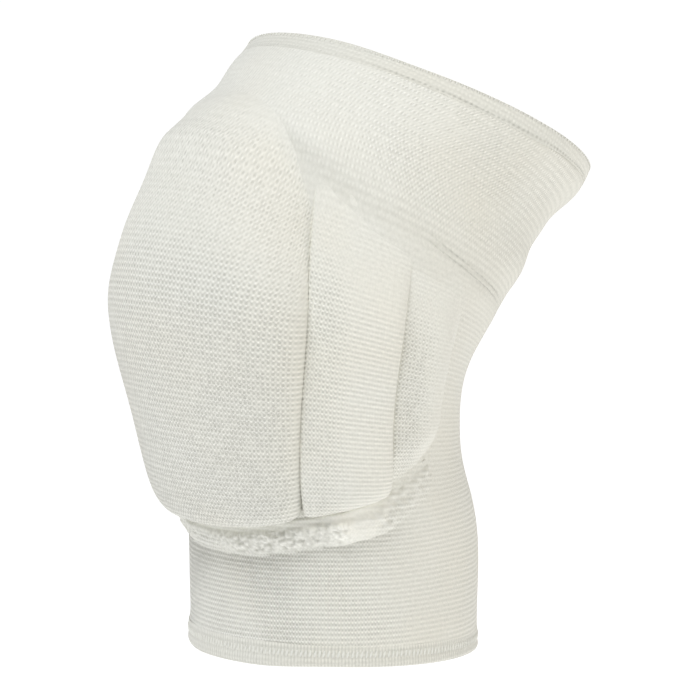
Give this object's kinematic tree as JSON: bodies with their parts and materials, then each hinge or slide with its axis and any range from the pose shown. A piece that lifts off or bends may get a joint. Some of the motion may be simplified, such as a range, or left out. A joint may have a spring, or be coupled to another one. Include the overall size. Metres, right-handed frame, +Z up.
{
  "type": "volleyball knee pad",
  "caption": "Knitted slip-on knee pad, shaped as worn on a bent knee: tubular sleeve, crowned kneecap pad, upright side pads, gathered roll and hemmed ends.",
  "frame": {"origin": "centre of the knee, inside the sleeve, where the leg carries the pad", "axes": "+Z up along the shin towards the thigh, -Y out of the front of the knee, +X across the knee towards the wearer's left"},
  "size_m": [0.1226, 0.1769, 0.2138],
  "materials": {
    "knit": "off-white elastic rib knit, matt",
    "padded_knit": "off-white textured knit over foam, matt",
    "hem_knit": "off-white overlocked knit edge, matt",
    "gathered_knit": "off-white gathered knit, matt"
  },
  "bodies": {
    "root": {"knit_sleeve": "knit", "thigh_hem": "hem_knit", "calf_hem": "hem_knit", "kneecap_pad": "padded_knit", "side_pad_front_right": "padded_knit", "side_pad_rear_right": "padded_knit", "side_pad_front_left": "padded_knit", "side_pad_rear_left": "padded_knit", "lower_gather": "gathered_knit"}
  },
  "joints": []
}
